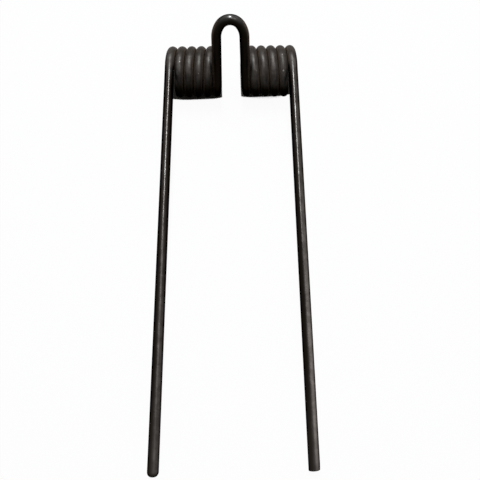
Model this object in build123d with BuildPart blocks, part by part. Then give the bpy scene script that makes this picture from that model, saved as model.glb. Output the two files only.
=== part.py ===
from build123d import *
import math
import os

# Double torsion spring tine: one length of round spring wire, bent cold.
#
# Followed along the wire it is a long straight tine, a close-wound coil, one leg of the bolt
# loop, the rounded top of the loop, the other leg, the mirrored coil and the other tine.
#
# Frame: millimetres, +Z up. The spring lies as it comes to rest, with both coils and both
# tine tips on the plane Z = 0. The coils share one axis along X, the tines run towards -Y,
# the bolt loop stands up and leans towards +Y, and the winding mirrors about X = 0.
# The origin is at the middle of the footprint.

# Wire
wire_diameter = 10.0

# Coils: clear bore, clear gap between turns, and the turns wound from a tine round to a leg
# that would leave the coil in line with it; the loop's lift unwinds a part of the last one
coil_inside_diameter = 33.5
turn_gap = 0.3
coil_turns = 5

# Tines: the one at +X has this length, the left one at -X is cut a little longer, and splay is
# the outward angle of each from straight ahead
tine_length = 400.0
left_tine_extra = 4.0
tine_splay = 0.55
tine_bend_radius = 80.0
right_tip_edge_radius = 1.2
left_tip_edge_radius = 4.0

# Bolt loop: its plane is tangent to both coils and tilted up from the horizontal
loop_elevation = 70.0
leg_spacing = 30.3
leg_length = 50.4
leg_convergence = 1.3
leg_turn_gap = 0.12
loop_top_inside_radius = 7.25
shoulder_end_angle = 35.0

# Points that carry the curve where the lead of the last turn dies away
fade_steps = 8

wire_radius = wire_diameter / 2
coil_mean_radius = coil_inside_diameter / 2 + wire_radius
coil_outer_radius = coil_mean_radius + wire_radius
coil_pitch = wire_diameter + turn_gap
lead_angle = math.degrees(math.atan2(coil_pitch, 2 * math.pi * coil_mean_radius))
leg_contact_angle = 90 + loop_elevation
leg_half_spacing = leg_spacing / 2

# Each tine leaves its coil with the lead and is bent back to its splay at once
tine_bend = lead_angle - tine_splay
tine_bend_run = tine_bend_radius * (
    math.sin(math.radians(lead_angle)) - math.sin(math.radians(tine_splay))
)

# The wire runs into the leg with the leg's own small angle, so the even lead dies away over
# the last part of the coil, and the turns close up from turn_gap to leg_turn_gap there
leg_lead_share = math.tan(math.radians(leg_convergence)) / math.tan(math.radians(lead_angle))
fade_turn = 2 * (turn_gap - leg_turn_gap) / (coil_pitch * (1 - leg_lead_share))
fade_angle = 360 * fade_turn
fade_advance = coil_pitch * fade_turn * (1 + leg_lead_share) / 2

# The shoulder arc takes up what the converging legs and the top arc leave of the half spacing
loop_top_radius = loop_top_inside_radius + wire_radius
shoulder_turn = shoulder_end_angle - leg_convergence
loop_top_turn = 90 - shoulder_end_angle
leg_top_half_spacing = leg_half_spacing - leg_length * math.sin(math.radians(leg_convergence))
shoulder_radius = (
    leg_top_half_spacing - loop_top_radius * math.cos(math.radians(shoulder_end_angle))
) / (math.cos(math.radians(leg_convergence)) - math.cos(math.radians(shoulder_end_angle)))


def radial(angle):
    """Unit vector away from the coil axis; the angle runs from +Y up towards +Z."""
    return Vector(0, math.cos(math.radians(angle)), math.sin(math.radians(angle)))


def coil_point(across, angle):
    """Point of the wire's centreline on the coil, with the coil axis on the X axis."""
    return Vector(across, 0, 0) + radial(angle) * coil_mean_radius


def coil_direction(lead, angle):
    """Way of the centreline on the coil, towards +X and growing angle."""
    around = radial(angle + 90)
    return around * math.cos(math.radians(lead)) + Vector(math.sin(math.radians(lead)), 0, 0)


def fade_point(share):
    """Point of the fading turn, from the leg's contact (share 0) to the even winding (1)."""
    evened = leg_lead_share * share + (1 - leg_lead_share) * share**2 / 2
    across = leg_half_spacing + coil_pitch * fade_turn * evened
    return coil_point(across, leg_contact_angle + fade_angle * share)


def tine_slope(straight_length, tip_edge_radius):
    """Angle below the horizontal at which a tine's tip touches the plane under the coils."""
    run = tine_bend_run + straight_length * math.cos(math.radians(tine_splay)) - tip_edge_radius
    top = coil_mean_radius - wire_radius + tip_edge_radius
    bottom = coil_outer_radius - tip_edge_radius
    return math.degrees(math.asin(bottom / math.hypot(run, top)) + math.atan2(top, run))


def half_spring(whole_tine_length, tip_edge_radius):
    """The +X half: half of the loop's top, a leg, a coil and a tine, about the X axis."""
    straight_length = whole_tine_length - tine_bend_radius * math.radians(tine_bend)
    tine_contact_angle = 90 + tine_slope(straight_length, tip_edge_radius) + 360 * coil_turns
    even_turns = (tine_contact_angle - leg_contact_angle - fade_angle) / 360
    even_start = leg_half_spacing + fade_advance
    tine_contact = coil_point(even_start + coil_pitch * even_turns, tine_contact_angle)
    loop_plane = Plane(
        origin=coil_point(0, leg_contact_angle), x_dir=(1, 0, 0), z_dir=radial(leg_contact_angle)
    )
    even_plane = Plane(
        origin=(even_start, 0, 0), x_dir=radial(leg_contact_angle + fade_angle), z_dir=(1, 0, 0)
    )
    tine_plane = Plane(origin=tine_contact, x_dir=(1, 0, 0), z_dir=-radial(tine_contact_angle))

    with BuildPart() as half:
        with BuildLine(loop_plane):
            leg = PolarLine((leg_half_spacing, 0), leg_length, 90 + leg_convergence)
            shoulder = JernArc(leg @ 1, leg % 1, shoulder_radius, shoulder_turn)
            loop_top = JernArc(shoulder @ 1, shoulder % 1, loop_top_radius, loop_top_turn)
        with BuildLine():
            Spline(
                *[fade_point(step / fade_steps) for step in range(fade_steps + 1)],
                tangents=(
                    coil_direction(leg_convergence, leg_contact_angle),
                    coil_direction(lead_angle, leg_contact_angle + fade_angle),
                ),
            )
            even_winding = Helix(
                coil_pitch, coil_pitch * even_turns, coil_mean_radius, mode=Mode.PRIVATE
            )
            add(even_winding.moved(Location(even_plane)))
        with BuildLine(tine_plane):
            bend = JernArc((0, 0), coil_direction(lead_angle, tine_contact_angle),
                           tine_bend_radius, tine_bend)
            PolarLine(bend @ 1, straight_length, 90 - tine_splay)
        with BuildSketch(Plane(origin=loop_top @ 1, z_dir=loop_top % 1)):
            Circle(wire_radius)
        sweep()
        tip = half.faces().filter_by(GeomType.PLANE).sort_by(Axis.Y)[0]
        fillet(tip.edges(), tip_edge_radius)
    return half.part


right_half = half_spring(tine_length, right_tip_edge_radius)
left_half = half_spring(tine_length + left_tine_extra, left_tip_edge_radius)
tip_reach = -min(right_half.bounding_box().min.Y, left_half.bounding_box().min.Y)
coil_axis_y = (tip_reach - coil_outer_radius) / 2

with BuildPart() as spring_wire:
    with Locations((0, coil_axis_y, coil_outer_radius)):
        add(right_half)
        add(mirror(left_half, about=Plane.YZ, mode=Mode.PRIVATE))

spring_wire.part.label = "spring_wire"
os.makedirs("parts", exist_ok=True)
export_step(spring_wire.part, "parts/spring_wire.step")
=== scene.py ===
"""A double torsion spring tine, bent from one dark oil-tempered wire, on a pale floor.

The file is laid out as a Blender add-on. Everything is in metres and radians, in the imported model's
own frame: +Z up, the coils' axis along X, the tines running towards -Y, the floor at Z = 0.
"""

import math
from types import SimpleNamespace

import bpy
from bpy.props import FloatProperty, FloatVectorProperty, IntProperty, PointerProperty
from mathutils import Matrix, Vector


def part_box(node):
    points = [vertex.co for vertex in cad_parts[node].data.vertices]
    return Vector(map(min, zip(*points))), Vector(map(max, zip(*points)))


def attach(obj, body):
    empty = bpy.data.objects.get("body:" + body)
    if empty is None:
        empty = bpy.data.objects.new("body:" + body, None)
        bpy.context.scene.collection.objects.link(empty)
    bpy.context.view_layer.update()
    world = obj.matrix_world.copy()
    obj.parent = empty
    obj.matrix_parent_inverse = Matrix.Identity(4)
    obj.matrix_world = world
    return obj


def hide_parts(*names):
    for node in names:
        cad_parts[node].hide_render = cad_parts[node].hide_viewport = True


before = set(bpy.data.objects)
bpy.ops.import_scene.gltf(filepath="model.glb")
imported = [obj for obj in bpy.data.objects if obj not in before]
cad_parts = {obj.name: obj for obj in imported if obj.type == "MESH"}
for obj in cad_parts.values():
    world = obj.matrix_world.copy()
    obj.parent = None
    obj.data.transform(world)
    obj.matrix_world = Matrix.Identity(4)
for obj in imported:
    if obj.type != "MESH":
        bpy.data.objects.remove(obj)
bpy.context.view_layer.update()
WIRE_NODE = "spring_wire"
WIRE_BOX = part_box(WIRE_NODE)

bl_info = {
    "name": "Double Torsion Spring Tine",
    "version": (1, 0, 0),
    "blender": (4, 5, 0),
    "location": "3D View > Sidebar > Spring Tine",
    "description": "Bends a double torsion spring tine from round wire and sets it on a lit floor",
    "category": "Object",
}

MM = 0.001
WHITE = (1.0, 1.0, 1.0)

# Mesh rings that round a tip
TIP_RINGS = 8

# Knocks through the skin of the coils: where in the model's frame, and how far each reaches in mm
KNOCKS = (
    ((-0.0539, 0.1812, 0.0523), 0.55),
    ((0.0539, 0.1881, 0.0535), 0.6),
    ((0.0548, 0.1721, 0.0477), 0.8),
    ((0.0258, 0.1734, 0.0485), 0.3),
    ((0.0265, 0.1726, 0.0475), 0.3),
)

# The spans over which the wire's masks rise or fall, along the wire in turns wound or metres
LOOP_END_TURNS = (0.0, 0.2)
NEIGHBOUR_TURNS = (0.7, 1.1)
GROOVE_END_RUN = (0.0, 0.012)
# Along the wire, the BAND_ and SHOULDER_ spans place the painted flank light on the tine at +X
BAND_START_RUN = (0.0, 0.03)
SHOULDER_END_RUN = (0.04, 0.3)
USED_PART_RUN = (0.05, 0.34)
TIP_RUN = (0.003, 0.03)

# The same across the spring, in metres from its middle
RIGHT_HALF = (-0.01, 0.01)

# The same around the wire, in parts of the outward way along one axis
GROOVE_FLANK = (0.48, 0.96)
# Around the wire, the BAND_ and SHOULDER_ spans place the painted flank light on the tine at +X
BAND_SIDE = (-0.05, 0.25)
BAND_ABOVE = (-0.4, 0.2)
SHOULDER_SIDE = (0.02, 0.3)
SHOULDER_END_SIDE = (0.35, 0.8)
FAR_SIDE = (-0.1, 0.4)
# Painted shade: the rust thins where the wire faces down, so the lower grooves are darker
PAINTED_SHADE_FACING = (-0.15, 0.55)

# How much of a finish is left: one factor, or two for where its mask is least and where most
# How much painted flank light is left beside its shoulder and at the tip
BAND_BESIDE_SHOULDER = 0.2
BAND_AT_TIP = (0.45, 1.0)
RUST_IN_PAINTED_SHADE = (0.12, 1.0)
# The painted sheen is patchy and is broken up by the drawing marks
PATCHY_PAINTED_SHEEN = (0.65, 1.1)
PATCHY_RUST = (0.55, 1.0)
PAINTED_SHEEN_BETWEEN_MARKS = 1.15
DUST_COVER = 0.85

# What the grain changes in the roughness, where it is least and where it is most
UNEVEN_ROUGHNESS = (-0.05, 0.06)

# How much of the facing along X counts in the coils' painted sheen, at -X and at +X; less at +X
# widens the painted light on the coil at +X
COIL_SIDEWAYS = ((0.8, 1.0, 1.0), (0.55, 1.0, 1.0))

# The middle of noise, the stretches of it that become marks, patches and grain, and how fine the
# ragged edges of nicks and knocks are
NOISE_MIDDLE = 0.5
MARKS_NOISE = (0.38, 0.62)
PATCHES_NOISE = (0.36, 0.66)
GRAIN_NOISE = (0.35, 0.68)
RAGS_PER_METRE = 1500.0

# Nicks: their spacing in nick sizes, and the part of the places that has one
NICK_SPACING = 12
NICKS_KEPT = 0.12

# Relief of marks and grain: the grain's height beside the marks', its strength, its depth in metres
GRAIN_LIFT = 0.35
RELIEF_STRENGTH = 0.35
RELIEF_DEPTH = 0.0001

# The floor: its faint patches, and how open it is where the shade ends and where plain white starts
FLOOR_PATCH_SIZE = 0.08
FLOOR_PATCH_COVER = 0.06
FLOOR_PATCH_TONE = 0.9
OPEN_FLOOR = (0.12, 0.25)

# The edges of the shade under the coils, in metres past the coils' own edges
SHADE_PAST_LEGS = (-0.001, 0.002)
SHADE_INSIDE_TINES = (-0.002, 0.003)
SHADE_BEHIND_FRONT = (-0.002, 0.002)
SHADE_BEYOND_AXIS = (0.03, 0.06)

# The camera: the width of its sensor in mm, and the nearest that it sees in metres
SENSOR_WIDTH = 36.0
CLIP_START = 0.01

# From one node to the next in the editor
NODE_SPACING = 220


# --- Sizes and colours ---


def length(name, about, millimetres):
    """A length, with its default in millimetres."""
    return FloatProperty(
        name=name, description=about, default=millimetres * MM, min=0.0, precision=5,
        subtype="DISTANCE", unit="LENGTH",
    )


def angle(name, about, degrees):
    """An angle, with its default in degrees."""
    return FloatProperty(
        name=name, description=about, default=math.radians(degrees),
        subtype="ANGLE", unit="ROTATION",
    )


def colour(name, about, red, green, blue):
    """A surface colour."""
    return FloatVectorProperty(
        name=name, description=about, default=(red, green, blue), min=0.0, max=1.0,
        size=3, subtype="COLOR",
    )


def share(name, about, value):
    """A number from 0 to 1."""
    return FloatProperty(
        name=name, description=about, default=value, min=0.0, max=1.0, subtype="FACTOR",
    )


def spread(name, about, value):
    """How narrowly a painted sheen keeps to its lit side: the power to which its mask is raised."""
    return FloatProperty(name=name, description=about, default=value, min=0.1)


def power(name, about, watts):
    """A lamp's power."""
    return FloatProperty(name=name, description=about, default=watts, unit="POWER")


def place(name, about, x, y, z):
    """A point, in metres."""
    return FloatVectorProperty(
        name=name, description=about, default=(x, y, z), size=3, subtype="XYZ", unit="LENGTH",
    )


def count(name, about, number, least):
    """A whole number."""
    return IntProperty(name=name, description=about, default=number, min=least)


class SpringSizes(bpy.types.PropertyGroup):
    """Sizes of the bent wire."""

    wire_diameter: length("Wire diameter", "Thickness of the round wire", 10.0)
    coil_inside_diameter: length("Coil bore", "Clear bore of each coil", 33.5)
    turn_gap: length("Turn gap", "Gap between two turns, along the axis", 0.3)
    coil_turns: count("Coil turns", "Turns from a tine to a leg in line with it", 5, 1)
    tine_length: length("Tine length", "Length of the tine at +X", 400.0)
    left_tine_extra: length("Left tine extra", "How much longer the tine at -X is cut", 4.0)
    tine_splay: angle("Tine splay", "Outward angle of each tine from straight ahead", 0.55)
    tine_bend_radius: length("Tine bend radius", "Bend where a tine leaves its coil", 80.0)
    left_tip_edge: length("Left tip edge", "Rounding of the tip at -X", 4.0)
    right_tip_edge: length("Right tip edge", "Rounding of the sheared tip at +X", 0.9)
    shear_roll: length("Shear roll", "How far the shear drew in one side of the tip at +X", 0.2)
    shear_reach: length("Shear reach", "Length of wire that the shear drew in", 5.0)
    shear_tilt: angle("Shear tilt", "Slant of the cut at +X", 4.0)
    loop_elevation: angle("Loop elevation", "Angle of the bolt loop from the floor", 70.0)
    leg_spacing: length("Leg spacing", "Between the legs' centrelines at the coils", 30.3)
    leg_length: length("Leg length", "Straight part of each leg", 50.4)
    leg_convergence: angle("Leg convergence", "Angle at which each leg leans inward", 1.3)
    leg_turn_gap: length("Leg turn gap", "Turn gap along the axis where the leg starts", 0.12)
    loop_top_inside_radius: length("Loop top radius", "Inside radius of the round top", 7.25)
    shoulder_end_angle: angle("Shoulder end", "Turn of the shoulders into the top", 35.0)
    sides: count("Sides", "Mesh sides around the wire", 48, 8)
    steps_per_turn: count("Steps per turn", "Mesh rings in one turn of a coil", 72, 12)


class SteelFinish(bpy.types.PropertyGroup):
    """Colours and marks of the oil-tempered steel."""

    skin: colour("Tempered skin", "Black skin of the loop and the coils", 0.0040, 0.0030, 0.0019)
    tine_skin: colour("Tine skin", "Skin of the tines, dulled by use", 0.0088, 0.0067, 0.0050)
    ground_skin: colour("Ground skin", "Skin of the tines' dulled ends", 0.018, 0.0145, 0.012)
    # Painted sheen: the grey and pale colours below go on the side of the wire that faces the lamps
    # and stand in for their light; the black skins stay on the side that faces away, as painted shade
    painted_sheen: colour("Painted sheen", "Grey bloom on the coils' painted_light side", 0.079, 0.0715, 0.0665)
    # The dust lies on the coils' side that faces +Y, towards the key lamp; because it is placed by
    # facing, it is partly painted light
    dust: colour("Dust", "Brown dust on the far side of the coils", 0.057, 0.044, 0.035)
    loop_painted_sheen: colour("Loop bloom", "Grey bloom on the loop's painted_light side", 0.084, 0.080, 0.075)
    painted_tine_sheen: colour("Painted tine sheen", "Painted sheen on the tines' crest", 0.120, 0.110, 0.105)
    rust: colour("Groove rust", "Brown rust between the turns", 0.110, 0.079, 0.058)
    # Worn steel is also the colour of the painted flank light on the tine at +X
    worn: colour("Worn steel", "Steel rubbed through its skin", 0.19, 0.170, 0.155)
    edge_tint: colour("Edge tint", "Tint of the skin at a glancing angle", 0.035, 0.030, 0.025)
    tine_edge_tint: colour("Tine edge tint", "The same on the tines", 0.081, 0.070, 0.061)
    # The tilts and leans below aim the painted light: the side of the wire that faces the leant way
    # up gets the painted sheen, and the other side keeps the black skin as painted shade
    tine_tilt: angle("Tine painted_light tilt", "Lean of the painted_light side from straight up to +Y", 15.0)
    used_lean: angle("Used tine lean", "Lean to +X where the tines work", 27.0)
    coil_tilt: angle("Coil painted_light tilt", "Lean to +Y on the coils", 4.0)
    loop_tilt: angle("Loop painted_light tilt", "Lean to +Y on the loop", 10.0)
    loop_lean: angle("Loop painted_light lean", "Lean to +X on the loop", 9.0)
    coil_spread: spread("Coil bloom spread", "How narrowly bloom keeps to the painted_light side", 1.8)
    # A lower power here widens the painted sheen on the coil at +X: painted light from the +X side
    right_spread: spread("Right coil bloom spread", "The same on the coil at +X", 1.2)
    loop_spread: spread("Loop bloom spread", "The same on the bolt loop", 2.6)
    tine_spread: spread("Tine bloom spread", "The same on the tines' painted sheen", 13.0)
    used_spread: spread("Used bloom spread", "The same where the tines work", 6.5)
    used_painted_tine_sheen: share("Used burnish", "Burnish that is left where the tines work", 0.8)
    tine_roughness: share("Tine roughness", "Roughness of the tines near the coils", 0.185)
    used_roughness: share("Used roughness", "Roughness of the tines where they work", 0.29)
    coil_roughness: share("Coil roughness", "Roughness of the coiled turns", 0.48)
    loop_roughness: share("Loop roughness", "Roughness of the oiled loop", 0.22)
    rust_roughness: share("Rust roughness", "Roughness between the turns", 0.62)
    worn_roughness: share("Worn roughness", "Roughness of the tine ends", 0.40)
    tine_marks: share("Tine marks", "How far the drawing marks darken the tines' burnish", 0.27)
    bent_marks: share("Bent wire marks", "The same for the bloom of the loop and the coils", 0.2)
    mark_width: length("Mark width", "Width of the lengthwise drawing marks", 0.5)
    mark_length: length("Mark length", "Length of the lengthwise drawing marks", 26.0)
    mottle_size: length("Mottle size", "Size of the patches in the tempered skin", 7.0)
    fleck_size: length("Fleck size", "Size of the smallest bright nicks", 0.5)
    end_wear: length("End wear", "Length of tine that the ground has dulled", 95.0)
    dust_run: length("Dust run", "Length of tine over which the coil's dust dies away", 28.0)


class StageSettings(bpy.types.PropertyGroup):
    """Floor, lamps and camera."""

    floor: colour("Floor", "Pale floor under the spring", 0.85, 0.85, 0.84)
    floor_shade: colour("Floor shade", "Floor in the shade under the coils", 0.08, 0.073, 0.066)
    floor_size: length("Floor size", "Side of the square floor", 6000.0)
    floor_whiteness: share("Floor whiteness", "How far the floor is lifted to plain white", 0.95)
    contact_reach: length("Contact reach", "How far the steel shades the floor", 40.0)
    shade_depth: share("Shade depth", "How far the shade under the coils is deepened", 0.70)
    shade_shift: length("Shade shift", "How far the shade lies towards -X", 1.0)
    shade_turn: angle("Shade turn", "Turn of the shade, away from the top lamp", -2.2)
    fill: share("Fill light", "Strength of the even light from all around", 0.35)
    key_power: power("Key lamp", "Power of the long lamp beyond the loop", 8.3)
    key_colour: colour("Key lamp colour", "Colour of the long lamp", 0.88, 0.96, 1.0)
    key_width: length("Key lamp width", "Width of the long lamp", 100.0)
    key_length: length("Key lamp length", "Length of the long lamp", 550.0)
    key_place: place("Key lamp place", "Where the long lamp hangs", 0.0, 0.49, 1.10)
    key_aim: place("Key lamp aim", "Where the long lamp points", 0.0, 0.08, 0.03)
    top_power: power("Top lamp", "Power of the wide lamp overhead", 2.0)
    top_width: length("Top lamp width", "Side of the square lamp overhead", 500.0)
    top_place: place("Top lamp place", "Where the wide lamp hangs", 0.30, -0.05, 1.26)
    top_aim: place("Top lamp aim", "Where the wide lamp points", 0.0, 0.0, 0.0)
    camera_place: place("Camera place", "Where the camera stands", 0.00879, -0.17517, 0.46139)
    camera_dip: angle("Camera dip", "Angle at which the camera looks down", 69.13)
    camera_turn: angle("Camera turn", "Turn of the camera to the left of +Y", 0.47)
    camera_roll: angle("Camera roll", "Roll of the camera about its own view", -1.08)
    camera_lens: FloatProperty(
        name="Lens", description="Focal length in mm, on a sensor 36 mm wide", default=36.52
    )


# --- The wire's centreline ---


def radial(turn):
    """Unit vector away from the coil axis; the angle runs from +Y up towards +Z."""
    return Vector((0.0, math.cos(turn), math.sin(turn)))


def on_coil(spring, across, turn):
    """Point of the centreline on a coil, with the coil axis on the X axis."""
    return radial(turn) * spring.mean_radius + Vector((across, 0.0, 0.0))


def spring_from(sizes):
    """The driving sizes and those that follow from them, by name, about the coil axis."""
    spring = SimpleNamespace(**{name: getattr(sizes, name) for name in sizes.__annotations__})
    spring.wire_radius = spring.wire_diameter / 2
    spring.mean_radius = spring.coil_inside_diameter / 2 + spring.wire_radius
    spring.outer_radius = spring.mean_radius + spring.wire_radius
    spring.pitch = spring.wire_diameter + spring.turn_gap
    spring.lead = math.atan2(spring.pitch, 2 * math.pi * spring.mean_radius)
    spring.leg_contact = math.pi / 2 + spring.loop_elevation
    spring.leg_half_spacing = spring.leg_spacing / 2
    spring.leg_lead_share = math.tan(spring.leg_convergence) / math.tan(spring.lead)
    opening = spring.turn_gap - spring.leg_turn_gap
    spring.fade_turn = 2 * opening / (spring.pitch * (1 - spring.leg_lead_share))
    spring.fade_angle = spring.fade_turn * math.tau
    spring.fade_advance = spring.pitch * spring.fade_turn * (1 + spring.leg_lead_share) / 2
    spring.top_radius = spring.loop_top_inside_radius + spring.wire_radius
    leg_top = spring.leg_half_spacing - spring.leg_length * math.sin(spring.leg_convergence)
    leg_cosine, end_cosine = math.cos(spring.leg_convergence), math.cos(spring.shoulder_end_angle)
    spring.shoulder_radius = (leg_top - spring.top_radius * end_cosine) / (leg_cosine - end_cosine)
    spring.tine_bend = spring.lead - spring.tine_splay
    bend_sine = math.sin(spring.lead) - math.sin(spring.tine_splay)
    spring.tine_bend_run = spring.tine_bend_radius * bend_sine
    spring.axis = Vector((0.0, WIRE_BOX[1].y - spring.outer_radius, spring.outer_radius))
    spring.ring_step = math.tau / spring.steps_per_turn
    spring.run_step = spring.wire_diameter / 2
    return spring


def tine_slope(spring, straight, tip_edge):
    """Angle below the horizontal at which a tine's tip touches the floor under the coils."""
    run = spring.tine_bend_run + straight * math.cos(spring.tine_splay) - tip_edge
    top = spring.mean_radius - spring.wire_radius + tip_edge
    bottom = spring.outer_radius - tip_edge
    return math.asin(bottom / math.hypot(run, top)) + math.atan2(top, run)


def arc_points(start, heading, end_heading, radius, step):
    """Points of a left-hand arc in a plane, after its start; headings turn from straight up."""
    centre = start - radius * Vector((math.cos(heading), math.sin(heading)))
    steps = max(2, math.ceil(abs(end_heading - heading) / step))
    turned = [heading + (end_heading - heading) * i / steps for i in range(1, steps + 1)]
    return [centre + radius * Vector((math.cos(turn), math.sin(turn))) for turn in turned]


def straight_points(start, heading, distance, step):
    """Points of a straight run in a plane, after its start."""
    way = Vector((-math.sin(heading), math.cos(heading)))
    steps = max(1, math.ceil(distance / step))
    return [start + way * (distance * i / steps) for i in range(1, steps + 1)]


def loop_stations(spring):
    """Stations of half the loop, from its top down a leg to the coil."""
    lean, shoulder_end = spring.leg_convergence, spring.shoulder_end_angle
    foot = Vector((spring.leg_half_spacing, 0.0))
    rise = [foot] + straight_points(foot, lean, spring.leg_length, spring.run_step)
    rise += arc_points(rise[-1], lean, shoulder_end, spring.shoulder_radius, spring.ring_step)
    rise += arc_points(rise[-1], shoulder_end, math.pi / 2, spring.top_radius, spring.ring_step)
    up = -radial(spring.leg_contact + math.pi / 2)
    return [
        (on_coil(spring, spot.x, spring.leg_contact) + up * spot.y, 0.0) for spot in reversed(rise)
    ]


def coil_stations(spring, tine_contact):
    """Stations of a coil from the leg to the tine, after its start."""
    stations = []

    # The lead grows from the leg's own small angle over a part of the first turn
    fade_count = math.ceil(spring.fade_turn * spring.steps_per_turn)
    for i in range(1, fade_count + 1):
        part = i / fade_count
        evened = spring.leg_lead_share * part + (1 - spring.leg_lead_share) * part**2 / 2
        across = spring.leg_half_spacing + spring.pitch * spring.fade_turn * evened
        spot = on_coil(spring, across, spring.leg_contact + spring.fade_angle * part)
        stations.append((spot, spring.fade_turn * part))

    # The even winding
    even_start = spring.leg_contact + spring.fade_angle
    even_angle = tine_contact - spring.leg_contact - spring.fade_angle
    even_count = math.ceil(even_angle / spring.ring_step)
    for i in range(1, even_count + 1):
        turned = even_angle * i / even_count
        across = spring.leg_half_spacing + spring.fade_advance + spring.pitch * turned / math.tau
        spot = on_coil(spring, across, even_start + turned)
        stations.append((spot, spring.fade_turn + turned / math.tau))
    return stations


def half_line(spring, whole_length, tip_edge):
    """Stations of the +X half from the loop's top to the tine's tip, as (point, turns wound).

    Turns wound is 0 on the loop, grows through the coil and stays at its last value on the tine.
    """
    straight = whole_length - spring.tine_bend_radius * spring.tine_bend
    slope = tine_slope(spring, straight, tip_edge)
    tine_contact = math.pi / 2 + slope + math.tau * spring.coil_turns
    stations = loop_stations(spring) + coil_stations(spring, tine_contact)

    # The tine, bent back from the lead to its splay and then straight
    contact, all_turns = stations[-1]
    splay, start = -spring.tine_splay, Vector((0.0, 0.0))
    run = arc_points(start, -spring.lead, splay, spring.tine_bend_radius, spring.ring_step)
    run += straight_points(run[-1], splay, straight, spring.run_step)
    ahead = radial(tine_contact + math.pi / 2)
    stations += [(contact + Vector((spot.x, 0.0, 0.0)) + ahead * spot.y, all_turns) for spot in run]
    return stations


def whole_line(spring):
    """Stations of the whole wire from the tip at -X to the tip at +X, in the model's frame."""
    right = half_line(spring, spring.tine_length, spring.right_tip_edge)
    left = half_line(spring, spring.tine_length + spring.left_tine_extra, spring.left_tip_edge)
    mirrored = [(Vector((-spot.x, spot.y, spot.z)), turns) for spot, turns in reversed(left)]
    return [(spring.axis + spot, turns) for spot, turns in mirrored + right[1:]]


# --- The wire's mesh ---


def smooth_step(span, value):
    """0 below the span, 1 above it and an even S between."""
    low, high = span
    part = min(1.0, max(0.0, (value - low) / (high - low)))
    return part * part * (3 - 2 * part)


def tip_profile(spring, edge):
    """(distance from the end, ring radius) pairs of a tip, from the full wire to its flat end."""
    turned = [math.pi / 2 * i / TIP_RINGS for i in range(1, TIP_RINGS + 1)]
    return [
        (edge * (1 - math.sin(turn)), spring.wire_radius - edge * (1 - math.cos(turn)))
        for turn in turned
    ]


def rings_of_wire(spring):
    """Rings along the wire: centre, way, across, distance along, ring radius and turns wound."""
    line = whole_line(spring)
    points = [point for point, _ in line]
    ways = [
        (points[min(i + 1, len(points) - 1)] - points[max(i - 1, 0)]).normalized()
        for i in range(len(points))
    ]
    along = [0.0]
    for before, after in zip(points, points[1:]):
        along.append(along[-1] + (after - before).length)
    across = Vector((0.0, 0.0, 1.0))
    rings = []
    for (point, turns), way, distance in zip(line, ways, along):
        across = (across - way * across.dot(way)).normalized()
        ring = SimpleNamespace(centre=point, way=way, across=across, along=distance, turns=turns)
        ring.radius = spring.wire_radius
        rings.append(ring)
    return capped(spring, rings)


def tip_rings(spring, end, edge, inward):
    """The closing rings of a tip, outwards to its end; inward is 1 or -1 along the wire."""
    made = []
    for distance, radius in [(edge, spring.wire_radius)] + tip_profile(spring, edge):
        ring = SimpleNamespace(**vars(end))
        ring.centre = end.centre + end.way * (distance * inward)
        ring.along = end.along + distance * inward
        ring.radius = radius
        made.append(ring)
    return made


def capped(spring, rings):
    """The rings with both ends replaced by their tips' closing rings."""
    last = rings[-1].along - spring.right_tip_edge
    kept = [ring for ring in rings if spring.left_tip_edge < ring.along < last]
    left = tip_rings(spring, rings[0], spring.left_tip_edge, 1)
    right = tip_rings(spring, rings[-1], spring.right_tip_edge, -1)
    return list(reversed(left)) + kept + right


def sheared(point, ring, spring, total):
    """The point moved as the shear left the tip at +X: one side drawn in, and the cut slanted."""
    to_end = total - ring.along
    if to_end > spring.shear_reach:
        return point
    drawn = 1 - smooth_step((0.0, spring.shear_reach), to_end)
    side = (point.x - ring.centre.x) / spring.wire_radius
    point = point - Vector((spring.shear_roll * drawn * max(0.0, side), 0.0, 0.0))
    return point - ring.way * (math.tan(spring.shear_tilt) * spring.wire_radius * side * drawn)


def groove_depth(outward, ring, all_turns, past_coil):
    """1 where this side of the wire faces a neighbouring turn, 0 where it is open."""
    towards_tine = outward.x * math.copysign(1.0, ring.centre.x)
    neighbour = all_turns - ring.turns if towards_tine > 0 else ring.turns
    beside = smooth_step(NEIGHBOUR_TURNS, neighbour) * (1 - smooth_step(GROOVE_END_RUN, past_coil))
    return smooth_step(GROOVE_FLANK, abs(towards_tine)) * beside


def painted_flank_light_band(outward, ring, past_coil, to_tip):
    """How much painted light the outer flank of the tine at +X gets, its shoulder most of all: light
    from the +X side, painted into the colour.
    """
    if ring.centre.x < 0:
        return 0.0
    flank = smooth_step(BAND_SIDE, outward.x) * smooth_step(BAND_ABOVE, outward.z)
    shoulder = smooth_step(SHOULDER_SIDE, outward.x)
    shoulder *= 1 - smooth_step(SHOULDER_END_SIDE, outward.x)
    shoulder *= 1 - smooth_step(SHOULDER_END_RUN, to_tip)
    rubbed = BAND_BESIDE_SHOULDER + (1 - BAND_BESIDE_SHOULDER) * shoulder
    return smooth_step(BAND_START_RUN, past_coil) * flank * rubbed


def facts_of_point(outward, ring, all_turns, past_coil, to_tip, dust_run):
    """What the material needs to know at a point of the wire, by the names it reads."""
    off_loop = smooth_step(LOOP_END_TURNS, ring.turns)
    return {
        "groove": groove_depth(outward, ring, all_turns, past_coil),
        "from_tip": to_tip,
        "on_loop": 1 - off_loop,
        "in_coil": off_loop * (1 - smooth_step((0.0, dust_run), past_coil)),
        # The value stored under the name rubbed is the painted flank light on the tine at +X
        "rubbed": painted_flank_light_band(outward, ring, past_coil, to_tip),
    }


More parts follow.
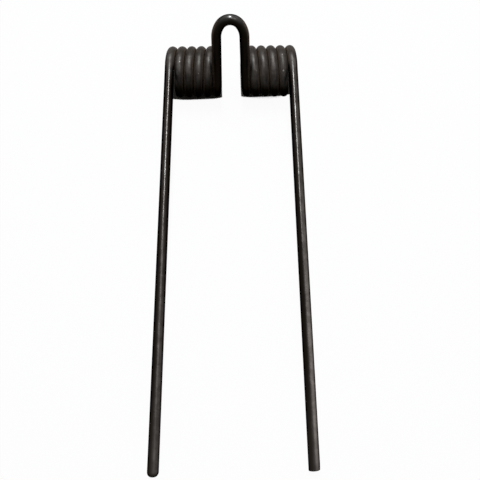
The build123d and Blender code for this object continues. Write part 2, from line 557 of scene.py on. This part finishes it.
def points_of_wire(spring, rings, dust_run):
    """Lists of the skin's points, their places on the straight wire and their facts."""
    total = rings[-1].along
    all_turns = max(ring.turns for ring in rings)
    points, straight, facts = [], [], []
    for ring in rings:
        second = ring.way.cross(ring.across)
        to_tip = min(ring.along, total - ring.along)
        past_coil = spring.tine_length - to_tip
        if ring.centre.x < 0:
            past_coil += spring.left_tine_extra
        for i in range(spring.sides):
            turned = math.tau * i / spring.sides
            cosine, sine = math.cos(turned), math.sin(turned)
            outward = ring.across * cosine + second * sine
            points.append(sheared(ring.centre + outward * ring.radius, ring, spring, total))
            straight.append((ring.radius * cosine, ring.radius * sine, ring.along))
            facts.append(facts_of_point(outward, ring, all_turns, past_coil, to_tip, dust_run))
    return points, straight, facts


def make_wire_mesh(spring, dust_run):
    """The closed mesh of the wire, with what its material needs to know at each point."""
    rings = rings_of_wire(spring)
    points, straight, facts = points_of_wire(spring, rings, dust_run)
    sides, last = spring.sides, len(points) - spring.sides
    faces = []
    for first in range(0, last, sides):
        for i in range(sides):
            j = (i + 1) % sides
            faces.append((first + i, first + j, first + sides + j, first + sides + i))

    # Each end is closed by a fan about its middle
    for ring, first, turn_over in ((rings[0], 0, True), (rings[-1], last, False)):
        middle = len(points)
        points.append(sum(points[first:first + sides], Vector()) / sides)
        straight.append((0.0, 0.0, ring.along))
        facts.append(dict.fromkeys(facts[0], 0.0))
        for i in range(sides):
            pair = (first + i, first + (i + 1) % sides)
            faces.append((*reversed(pair), middle) if turn_over else (*pair, middle))

    mesh = bpy.data.meshes.new("tempered_spring_wire")
    mesh.from_pydata(points, [], faces)
    mesh.polygons.foreach_set("use_smooth", [True] * len(mesh.polygons))
    stored = mesh.attributes.new("straight_place", "FLOAT_VECTOR", "POINT")
    stored.data.foreach_set("vector", [part for spot in straight for part in spot])
    for name in facts[0]:
        stored = mesh.attributes.new(name, "FLOAT", "POINT")
        stored.data.foreach_set("value", [fact[name] for fact in facts])
    mesh.update()
    mesh.validate()
    return mesh


# --- Shader nodes ---

# A value is handed on as the socket that gives it; makers of groups and materials return those


def feed(tree, socket, value):
    """Links a socket into this one, or sets this one to a number, a vector or a colour."""
    if isinstance(value, bpy.types.NodeSocket):
        tree.links.new(value, socket)
    elif socket.type == "RGBA":
        socket.default_value = (*value, 1.0)
    else:
        socket.default_value = value


def add_node(tree, kind, label, values=None, **settings):
    """A labelled node with its settings; values feed its inputs by name or number."""
    node = tree.nodes.new(kind)
    node.label = label
    for name, setting in settings.items():
        setattr(node, name, setting)
    for socket, value in (values or {}).items():
        feed(tree, node.inputs[socket], value)
    node.location.x = NODE_SPACING * len(tree.nodes)
    return node


def new_group(name, inputs, outputs):
    """An empty node group with number outputs; an input with no default is a vector.

    Returns the group, the sockets that give its inputs and those that take its outputs.
    """
    group = bpy.data.node_groups.new(name, "ShaderNodeTree")
    for socket, default in inputs.items():
        kind = "NodeSocketVector" if default is None else "NodeSocketFloat"
        made = group.interface.new_socket(name=socket, in_out="INPUT", socket_type=kind)
        if default is not None:
            made.default_value = default
    for socket in outputs:
        group.interface.new_socket(name=socket, in_out="OUTPUT", socket_type="NodeSocketFloat")
    given = add_node(group, "NodeGroupInput", "In").outputs
    return group, given, add_node(group, "NodeGroupOutput", "Out").inputs


def remap(tree, source, span, label, to=(0.0, 1.0)):
    """source stretched smoothly from the span to another and held there."""
    names = ("Value", "From Min", "From Max", "To Min", "To Max")
    values = dict(zip(names, (source, *span, *to)))
    node = add_node(tree, "ShaderNodeMapRange", label, values, interpolation_type="SMOOTHSTEP")
    return node.outputs["Result"]


def math_of(tree, operation, first, second, label):
    """first and second, each a socket or a number, put together."""
    node = add_node(tree, "ShaderNodeMath", label, {0: first, 1: second}, operation=operation)
    return node.outputs["Value"]


def times(tree, first, second, label):
    """first times second, each a socket or a number."""
    return math_of(tree, "MULTIPLY", first, second, label)


def vector_of(tree, operation, values, label, output="Vector"):
    """A vector operation on values by socket name or number."""
    node = add_node(tree, "ShaderNodeVectorMath", label, values, operation=operation)
    return node.outputs[output]


def parts_of(tree, vector, label):
    """The outputs X, Y and Z of a vector."""
    return add_node(tree, "ShaderNodeSeparateXYZ", label, {0: vector}).outputs


def noise_of(tree, vector, label, **values):
    """Noise over a vector."""
    values = {"Vector": vector, **values}
    return add_node(tree, "ShaderNodeTexNoise", label, values).outputs["Fac"]


def mix(tree, kind, amount, first, second, label):
    """first turned into second by amount; kind is FLOAT, RGBA or VECTOR."""
    values = {"Factor": amount, "A": first, "B": second}
    return add_node(tree, "ShaderNodeMix", label, values, data_type=kind).outputs["Result"]


def drawing_marks_group():
    """Fine lengthwise marks of wire drawing, from the place on the wire while it was straight."""
    group, given, made = new_group(
        "Drawing Marks",
        {"Straight Place": None, "Width": 0.0005, "Length": 0.026},
        ("Marks", "Height"),
    )
    parts = parts_of(group, given["Straight Place"], "Place on the wire")
    scaled = {
        part: math_of(group, "DIVIDE", parts[part], given[size], f"{part} in marks")
        for part, size in (("X", "Width"), ("Y", "Width"), ("Z", "Length"))
    }
    stretched = add_node(group, "ShaderNodeCombineXYZ", "Stretched along the wire", scaled)
    stretched = stretched.outputs["Vector"]
    fine = noise_of(group, stretched, "Fine marks", Scale=1.0, Detail=3.0)
    broad = noise_of(group, stretched, "Broad marks", Scale=0.33, Detail=1.0)
    height = times(group, math_of(group, "ADD", fine, broad, "Fine and broad"), 0.5, "Their mean")
    feed(group, made["Marks"], remap(group, height, MARKS_NOISE, "Marks"))
    feed(group, made["Height"], height)
    return group


def in_cells(group, place, size, label):
    """The place counted in cells of this size."""
    scale = math_of(group, "DIVIDE", 1.0, size, "Cells a metre")
    return vector_of(group, "SCALE", {"Vector": place, "Scale": scale}, label)


def mottle_group():
    """Soft uneven patches, large and small together."""
    group, given, made = new_group(
        "Mottle", {"Place": None, "Size": 0.007}, ("Patches", "Grain")
    )
    spot = in_cells(group, given["Place"], given["Size"], "In patch sizes")
    patches = noise_of(group, spot, "Patches", Scale=1.0, Detail=4.0, Distortion=0.6)
    grain = noise_of(group, spot, "Grain", Scale=11.0, Detail=2.0)
    feed(group, made["Patches"], remap(group, patches, PATCHES_NOISE, "Patches"))
    feed(group, made["Grain"], remap(group, grain, GRAIN_NOISE, "Grain"))
    return group


def ragged(group, place, reach):
    """The reach made uneven from place to place."""
    noise = noise_of(group, place, "Ragged edge", Scale=RAGS_PER_METRE, Detail=1.0)
    uneven = math_of(group, "ADD", noise, NOISE_MIDDLE, "Uneven about 1")
    return times(group, reach, uneven, "Ragged reach")


def nicks_group():
    """Sparse tiny nicks: the middles of a few cells of a cell pattern."""
    group, given, made = new_group(
        "Nicks", {"Place": None, "Size": 0.0005, "Spacing": 0.006, "Kept": 0.2}, ("Nicks",)
    )
    spot = in_cells(group, given["Place"], given["Spacing"], "In spacings")
    cells = add_node(
        group, "ShaderNodeTexVoronoi", "Cells", {"Vector": spot, "Scale": 1.0}, feature="F1"
    )
    reach = math_of(group, "DIVIDE", given["Size"], given["Spacing"], "Nick reach")
    reach = ragged(group, given["Place"], reach)
    near = math_of(group, "LESS_THAN", cells.outputs["Distance"], reach, "Near a cell's middle")
    pick = parts_of(group, cells.outputs["Color"], "A number for each cell")["X"]
    kept = math_of(group, "LESS_THAN", pick, given["Kept"], "Cells with a nick")
    feed(group, made["Nicks"], times(group, near, kept, "Nicks"))
    return group


def knock_group():
    """One knock through the skin: 1 within its ragged reach of its middle."""
    group, given, made = new_group(
        "Knock", {"Place": None, "Middle": None, "Reach": 0.0005}, ("Knock",)
    )
    ends = {0: given["Place"], 1: given["Middle"]}
    away = vector_of(group, "DISTANCE", ends, "Away from its middle", "Value")
    edge = ragged(group, given["Place"], given["Reach"])
    feed(group, made["Knock"], math_of(group, "LESS_THAN", away, edge, "Knock"))
    return group


GROUP_MAKERS = {
    "Drawing Marks": drawing_marks_group,
    "Knock": knock_group,
    "Mottle": mottle_group,
    "Nicks": nicks_group,
}


def use_group(tree, name, values):
    """A group that is made once, placed in a material with its own values; returns its outputs."""
    group = bpy.data.node_groups.get(name) or GROUP_MAKERS[name]()
    return add_node(tree, "ShaderNodeGroup", name, values, node_tree=group).outputs


# --- Materials ---


def emptied_tree(owner, out_kind):
    """The emptied node tree of a material or a world, and the socket that takes its shader."""
    owner.use_nodes = True
    tree = owner.node_tree
    tree.nodes.clear()
    return tree, add_node(tree, out_kind, "Out").inputs["Surface"]


def stored_on_mesh(tree, name, output="Fac"):
    """A value stored on the mesh."""
    return add_node(tree, "ShaderNodeAttribute", name, attribute_name=name).outputs[output]


def leaning(tilt, lean=0.0):
    """The way straight up, leant towards +Y by tilt and towards +X by lean."""
    return Vector((math.tan(lean), math.tan(tilt), 1.0)).normalized()


def facts_of_wire(tree):
    """What the wire's material knows at a point, as sockets by name."""
    at = SimpleNamespace(straight=stored_on_mesh(tree, "straight_place", "Vector"))
    # rubbed holds the painted flank light on the tine at +X
    for name in ("groove", "from_tip", "on_loop", "in_coil", "rubbed"):
        setattr(at, name, stored_on_mesh(tree, name))
    at.bent = math_of(tree, "MAXIMUM", at.in_coil, at.on_loop, "Bent wire")
    at.used = remap(tree, at.from_tip, USED_PART_RUN, "Used part of the tine", (1.0, 0.0))
    at.spot = add_node(tree, "ShaderNodeTexCoord", "Place on the spring").outputs["Object"]
    across = parts_of(tree, at.spot, "Side of the spring")["X"]
    at.right = remap(tree, across, RIGHT_HALF, "Half at +X")
    at.normal = add_node(tree, "ShaderNodeNewGeometry", "Facing").outputs["Normal"]
    # The coil at +X counts less of its facing along X, so its painted sheen spreads wider: painted
    # light from the +X side
    sideways = mix(tree, "VECTOR", at.right, *COIL_SIDEWAYS, "Sideways on this coil")
    narrowed = vector_of(tree, "MULTIPLY", {0: at.normal, 1: sideways}, "Less of the sideways tilt")
    at.around = vector_of(tree, "NORMALIZE", {0: narrowed}, "Around the coil")
    return at


def painted_light_side(tree, finish, at):
    """Painted light: 1 where the wire faces the leant way up from which the lamps light it, 0 from a
    quarter turn away.
    """
    unused = leaning(finish.tine_tilt)
    worked = leaning(finish.tine_tilt, finish.used_lean)
    looped = leaning(finish.loop_tilt, finish.loop_lean)
    side = mix(tree, "VECTOR", at.used, unused, worked, "Painted light side of the tines")
    side = mix(tree, "VECTOR", at.in_coil, side, leaning(finish.coil_tilt), "Of tines and coils")
    side = mix(tree, "VECTOR", at.on_loop, side, looped, "Of this part")
    counted = mix(tree, "VECTOR", at.in_coil, at.normal, at.around, "Facing that counts")
    facing = vector_of(tree, "DOT_PRODUCT", {0: counted, 1: side}, "Turned to the painted_light", "Value")
    return math_of(tree, "MAXIMUM", facing, 0.0, "Painted light side")


def painted_sheen_of_wire(tree, finish, at, turned, patchy, marks):
    """How much painted sheen covers the skin: a paler colour on the side that faces the lamps, none
    on the side that faces away.
    """
    narrow = mix(tree, "FLOAT", at.used, finish.tine_spread, finish.used_spread, "On the tine")
    coiled = mix(tree, "FLOAT", at.right, finish.coil_spread, finish.right_spread, "On this coil")
    narrow = mix(tree, "FLOAT", at.in_coil, narrow, coiled, "On tine or coil")
    narrow = mix(tree, "FLOAT", at.on_loop, narrow, finish.loop_spread, "Bloom spread")
    # The painted light, narrowed to the side that faces the lamps
    narrowed_painted_light = math_of(tree, "POWER", turned, narrow, "Narrowed painted light")
    depth = mix(tree, "FLOAT", at.bent, finish.tine_marks, finish.bent_marks, "Depth of the marks")
    in_marks = math_of(tree, "SUBTRACT", 1.0, depth, "Bloom in the marks")
    marked = mix(tree, "FLOAT", marks, in_marks, PAINTED_SHEEN_BETWEEN_MARKS, "Marked bloom")
    painted_sheened = times(tree, narrowed_painted_light, times(tree, patchy, marked, "Uneven bloom"), "Painted sheen")
    kept = mix(tree, "FLOAT", at.used, 1.0, finish.used_painted_tine_sheen, "Burnish kept")
    kept = mix(tree, "FLOAT", at.bent, kept, 1.0, "Bloom kept")
    return times(tree, painted_sheened, kept, "Bloom of this part")


def nicks_and_knocks(tree, finish, at, turned):
    """1 where the skin is knocked through."""
    values = {"Place": at.straight, "Size": finish.fleck_size,
              "Spacing": finish.fleck_size * NICK_SPACING, "Kept": NICKS_KEPT}
    nicks = use_group(tree, "Nicks", values)["Nicks"]
    nicked = times(tree, nicks, turned, "Nicks on top")
    for middle, reach in KNOCKS:
        values = {"Place": at.spot, "Middle": middle, "Reach": reach * MM}
        knock = use_group(tree, "Knock", values)["Knock"]
        nicked = math_of(tree, "MAXIMUM", nicked, knock, "Nicks and knocks")
    return nicked


def roughness_of_wire(tree, finish, at, wear, rusty, grain):
    """How rough the wire is along its parts and over its grain."""
    rough = mix(tree, "FLOAT", at.used, finish.tine_roughness, finish.used_roughness, "Tine")
    rough = mix(tree, "FLOAT", at.in_coil, rough, finish.coil_roughness, "Tine or coil")
    rough = mix(tree, "FLOAT", wear, rough, finish.worn_roughness, "Dull ends")
    rough = mix(tree, "FLOAT", at.on_loop, rough, finish.loop_roughness, "Oiled loop")
    rough = mix(tree, "FLOAT", rusty, rough, finish.rust_roughness, "Rough rust")
    uneven = mix(tree, "FLOAT", grain, *UNEVEN_ROUGHNESS, "Uneven roughness")
    return math_of(tree, "ADD", rough, uneven, "Roughness")


def oiled_steel(finish):
    """Brown-black oil-tempered steel: drawn, mottled, rusty between turns and dull at the tips."""
    material = bpy.data.materials.new("oiled_steel")
    tree, surface = emptied_tree(material, "ShaderNodeOutputMaterial")
    at = facts_of_wire(tree)
    values = {"Straight Place": at.straight, "Width": finish.mark_width,
              "Length": finish.mark_length}
    marks = use_group(tree, "Drawing Marks", values)
    values = {"Place": at.straight, "Size": finish.mottle_size}
    patches, grain = use_group(tree, "Mottle", values).values()

    turned = painted_light_side(tree, finish, at)
    patchy = mix(tree, "FLOAT", patches, *PATCHY_PAINTED_SHEEN, "Patchy bloom")
    painted_sheened = painted_sheen_of_wire(tree, finish, at, turned, patchy, marks["Marks"])
    around = parts_of(tree, at.around, "Facing by axis")
    # Dust on the coils' side that faces +Y, towards the key lamp; because it is placed by facing, it
    # is partly painted light there
    far_side = remap(tree, around["Y"], FAR_SIDE, "Far side")
    dust_and_painted_light = times(tree, at.in_coil, times(tree, far_side, DUST_COVER, "Far side's dust"), "Dust and painted light")
    wear = remap(tree, at.from_tip, (0.0, finish.end_wear), "Worn ends", (1.0, 0.0))
    patchy_rust = mix(tree, "FLOAT", grain, *PATCHY_RUST, "Uneven rust")
    rusty = times(tree, at.groove, patchy_rust, "Rust")
    # Painted shade: less rust where the wire faces down, so the lower grooves are darker
    outside_painted_shade = remap(tree, around["Z"], PAINTED_SHADE_FACING, "Less rust lower down, painted shade", RUST_IN_PAINTED_SHADE)
    rusty = times(tree, rusty, outside_painted_shade, "Rust above")
    # Painted flank light: a paler band on the +X flank of the tine at +X that stands in for light
    # from the +X side
    short = remap(tree, at.from_tip, TIP_RUN, "Short of the tip", BAND_AT_TIP)
    band = times(tree, at.rubbed, times(tree, patchy, short, "Band kept"), "Painted flank light")
    nicked = nicks_and_knocks(tree, finish, at, turned)

    # Painted sheen and painted shade: the pale colours cover the side that faces the lamps, and the
    # black skin is left on the side that faces away
    painted_sheen = mix(tree, "RGBA", at.in_coil, finish.painted_tine_sheen, finish.painted_sheen, "Burnish or bloom")
    painted_sheen = mix(tree, "RGBA", dust_and_painted_light, painted_sheen, finish.dust, "Bloom or dust")
    painted_sheen = mix(tree, "RGBA", at.on_loop, painted_sheen, finish.loop_painted_sheen, "Bloom of this part")
    skin = mix(tree, "RGBA", wear, finish.tine_skin, finish.ground_skin, "Skin along the tine")
    skin = mix(tree, "RGBA", at.bent, skin, finish.skin, "Skin of this part")
    skin = mix(tree, "RGBA", painted_sheened, skin, painted_sheen, "Skin with bloom")
    skin = mix(tree, "RGBA", band, skin, finish.worn, "Skin with painted flank light")
    skin = mix(tree, "RGBA", rusty, skin, finish.rust, "Skin with rust")
    skin = mix(tree, "RGBA", nicked, skin, finish.worn, "Skin with nicks")
    edges = mix(tree, "RGBA", at.bent, finish.tine_edge_tint, finish.edge_tint, "Edges")
    covered = math_of(tree, "MAXIMUM", rusty, dust_and_painted_light, "Rust or dust")

    lifted = times(tree, grain, GRAIN_LIFT, "Grain height")
    relief = add_node(
        tree, "ShaderNodeBump", "Surface relief",
        {"Height": math_of(tree, "ADD", marks["Height"], lifted, "Marks and grain"),
         "Strength": RELIEF_STRENGTH, "Distance": RELIEF_DEPTH},
    )
    steel = add_node(
        tree, "ShaderNodeBsdfPrincipled", "Tempered steel",
        {"Base Color": skin,
         "Metallic": math_of(tree, "SUBTRACT", 1.0, covered, "Bare metal"),
         "Roughness": roughness_of_wire(tree, finish, at, wear, rusty, grain),
         "Specular IOR Level": 0.1,
         "Specular Tint": edges,
         "Normal": relief.outputs["Normal"]},
    )
    feed(tree, surface, steel.outputs["BSDF"])
    return material


def seen_directly(tree):
    """1 for what the camera, a reflection or a see-through surface shows."""
    path = add_node(tree, "ShaderNodeLightPath", "What is looking").outputs
    seen = math_of(tree, "MAXIMUM", path["Is Camera Ray"], path["Is Glossy Ray"], "Seen")
    return math_of(tree, "MAXIMUM", seen, path["Is Transmission Ray"], "Seen directly")


def edge_at(tree, across, middle, margins, label, to=(0.0, 1.0)):
    """A soft edge of the shade, a little either side of its middle."""
    return remap(tree, across, [middle + margin for margin in margins], label, to)


def under_coils(tree, spot, stage, spring):
    """1 on the floor in the shade of the coils' undersides, 0 around them."""
    turned = add_node(
        tree, "ShaderNodeVectorRotate", "Turned with the shade",
        {"Vector": spot, "Center": (0.0, spring.axis.y, 0.0), "Angle": stage.shade_turn},
        rotation_type="Z_AXIS",
    )
    parts = parts_of(tree, turned.outputs["Vector"], "Place under the coils")
    shifted = math_of(tree, "ADD", parts["X"], stage.shade_shift, "Moved with the shade")
    aside = math_of(tree, "ABSOLUTE", shifted, 0.0, "Aside")
    inner = spring.leg_half_spacing - spring.wire_radius
    outer = WIRE_BOX[1].x - spring.wire_radius
    front = spring.axis.y - spring.outer_radius / 2
    shade = edge_at(tree, aside, inner, SHADE_PAST_LEGS, "Past the legs")
    for edge in (
        edge_at(tree, aside, outer, SHADE_INSIDE_TINES, "Inside the tines", (1.0, 0.0)),
        edge_at(tree, parts["Y"], front, SHADE_BEHIND_FRONT, "Behind the front"),
        edge_at(tree, parts["Y"], spring.axis.y, SHADE_BEYOND_AXIS, "Near the coils", (1.0, 0.0)),
    ):
        shade = times(tree, shade, edge, "Under the coils")
    return shade


def pale_floor(stage, spring):
    """A pale floor that is lifted to plain white where it is seen, and keeps its shadows."""
    material = bpy.data.materials.new("pale_floor")
    tree, surface = emptied_tree(material, "ShaderNodeOutputMaterial")
    spot = add_node(tree, "ShaderNodeTexCoord", "Floor place").outputs["Object"]
    mottle = use_group(tree, "Mottle", {"Place": spot, "Size": FLOOR_PATCH_SIZE})
    faint = times(tree, mottle["Patches"], FLOOR_PATCH_COVER, "Faint mottle")
    patch = [part * FLOOR_PATCH_TONE for part in stage.floor]
    paint = mix(tree, "RGBA", faint, stage.floor, patch, "Floor paint")
    openness = add_node(
        tree, "ShaderNodeAmbientOcclusion", "Open floor",
        {"Distance": stage.contact_reach}, samples=16,
    )
    shaded = under_coils(tree, spot, stage, spring)
    shaded = times(tree, shaded, stage.shade_depth, "Deeper shade under the coils")
    opened = math_of(tree, "SUBTRACT", openness.outputs["AO"], shaded, "Open floor, coils apart")
    opened = remap(tree, opened, OPEN_FLOOR, "Away from the steel")
    paint = mix(tree, "RGBA", opened, stage.floor_shade, paint, "Floor paint and shade")
    whitened = times(tree, opened, stage.floor_whiteness, "Open floor's white")
    matt = add_node(tree, "ShaderNodeBsdfDiffuse", "Matt floor", {"Color": paint})
    white = add_node(tree, "ShaderNodeEmission", "Plain white", {"Color": WHITE, "Strength": 1.0})
    lifted = add_node(
        tree, "ShaderNodeMixShader", "Lifted floor",
        {"Fac": times(tree, seen_directly(tree), whitened, "Whiteness"),
         1: matt.outputs["BSDF"],
         2: white.outputs["Emission"]},
    )
    feed(tree, surface, lifted.outputs["Shader"])
    return material


# --- The stage ---


def make_floor(stage, spring):
    """The square floor under the spring."""
    half = stage.floor_size / 2
    corners = [(-half, -half, 0), (half, -half, 0), (half, half, 0), (-half, half, 0)]
    mesh = bpy.data.meshes.new("floor")
    mesh.from_pydata(corners, [], [(0, 1, 2, 3)])
    mesh.materials.append(pale_floor(stage, spring))
    floor = bpy.data.objects.new("floor", mesh)
    bpy.context.scene.collection.objects.link(floor)


def make_world(stage):
    """Even light from all around, which shows as plain white."""
    world = bpy.data.worlds.new("even_light")
    tree, surface = emptied_tree(world, "ShaderNodeOutputWorld")
    strength = mix(tree, "FLOAT", seen_directly(tree), stage.fill, 1.0, "Fill or white")
    sky = add_node(
        tree, "ShaderNodeBackground", "Even light", {"Color": WHITE, "Strength": strength}
    )
    feed(tree, surface, sky.outputs["Background"])
    bpy.context.scene.world = world


def make_lamp(name, spot, aim, wide, tall, watts, tint):
    """A soft panel lamp at spot, turned to what it aims at."""
    lamp = bpy.data.lights.new(name, "AREA")
    lamp.color = tint
    lamp.shape = "RECTANGLE"
    lamp.size = wide
    lamp.size_y = tall
    lamp.energy = watts
    holder = bpy.data.objects.new(name, lamp)
    spot, aim = Vector(spot), Vector(aim)
    holder.rotation_euler = (aim - spot).to_track_quat("-Z", "Y").to_euler()
    holder.location = spot
    bpy.context.scene.collection.objects.link(holder)


def make_camera(stage):
    """The camera, looking down on the spring from above the tines."""
    camera = bpy.data.cameras.new("camera")
    camera.sensor_width = SENSOR_WIDTH
    camera.lens = stage.camera_lens
    camera.clip_start = CLIP_START
    holder = bpy.data.objects.new("camera", camera)
    tilt = math.pi / 2 - stage.camera_dip
    holder.matrix_world = (
        Matrix.Translation(stage.camera_place)
        @ Matrix.Rotation(stage.camera_turn, 4, "Z")
        @ Matrix.Rotation(tilt, 4, "X")
        @ Matrix.Rotation(stage.camera_roll, 4, "Z")
    )
    bpy.context.scene.collection.objects.link(holder)
    bpy.context.scene.camera = holder


# --- Operators, panel and registration ---


class SPRING_OT_bend_wire(bpy.types.Operator):
    """Bend the whole spring from one length of tempered wire and give it its oiled finish"""

    bl_idname = "spring.bend_wire"
    bl_label = "Bend the Spring Wire"

    def execute(self, context):
        finish = context.scene.steel_finish
        mesh = make_wire_mesh(spring_from(context.scene.spring_sizes), finish.dust_run)
        mesh.materials.append(oiled_steel(finish))
        wire = bpy.data.objects.new("tempered_spring_wire", mesh)
        context.scene.collection.objects.link(wire)
        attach(wire, "root")
        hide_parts(WIRE_NODE)
        return {"FINISHED"}


class SPRING_OT_set_stage(bpy.types.Operator):
    """Lay the pale floor, hang the lamps and stand the camera"""

    bl_idname = "spring.set_stage"
    bl_label = "Set the Stage"

    def execute(self, context):
        stage = context.scene.spring_stage
        make_floor(stage, spring_from(context.scene.spring_sizes))
        make_world(stage)
        make_lamp("key_lamp", stage.key_place, stage.key_aim, stage.key_width, stage.key_length,
                  stage.key_power, stage.key_colour)
        make_lamp("top_lamp", stage.top_place, stage.top_aim, stage.top_width, stage.top_width,
                  stage.top_power, WHITE)
        make_camera(stage)
        context.scene.view_settings.view_transform = "Standard"
        return {"FINISHED"}


class SPRING_PT_panel(bpy.types.Panel):
    """Sizes, finish and stage of the spring tine"""

    bl_idname = "SPRING_PT_panel"
    bl_label = "Spring Tine"
    bl_space_type = "VIEW_3D"
    bl_region_type = "UI"
    bl_category = "Spring Tine"

    def draw(self, context):
        scene = context.scene
        for settings, operator in (
            (scene.spring_sizes, None),
            (scene.steel_finish, SPRING_OT_bend_wire),
            (scene.spring_stage, SPRING_OT_set_stage),
        ):
            box = self.layout.box()
            for name in settings.__annotations__:
                box.prop(settings, name)
            if operator:
                box.operator(operator.bl_idname)


CLASSES = (
    SpringSizes, SteelFinish, StageSettings,
    SPRING_OT_bend_wire, SPRING_OT_set_stage, SPRING_PT_panel,
)


def register():
    """Adds the classes, and their settings to the scene."""
    for made in CLASSES:
        bpy.utils.register_class(made)
    bpy.types.Scene.spring_sizes = PointerProperty(type=SpringSizes)
    bpy.types.Scene.steel_finish = PointerProperty(type=SteelFinish)
    bpy.types.Scene.spring_stage = PointerProperty(type=StageSettings)


def unregister():
    """Takes the settings and the classes away again."""
    del bpy.types.Scene.spring_stage
    del bpy.types.Scene.steel_finish
    del bpy.types.Scene.spring_sizes
    for made in reversed(CLASSES):
        bpy.utils.unregister_class(made)


def main():
    register()
    bpy.ops.spring.bend_wire()
    bpy.ops.spring.set_stage()


if __name__ == "__main__":
    main()
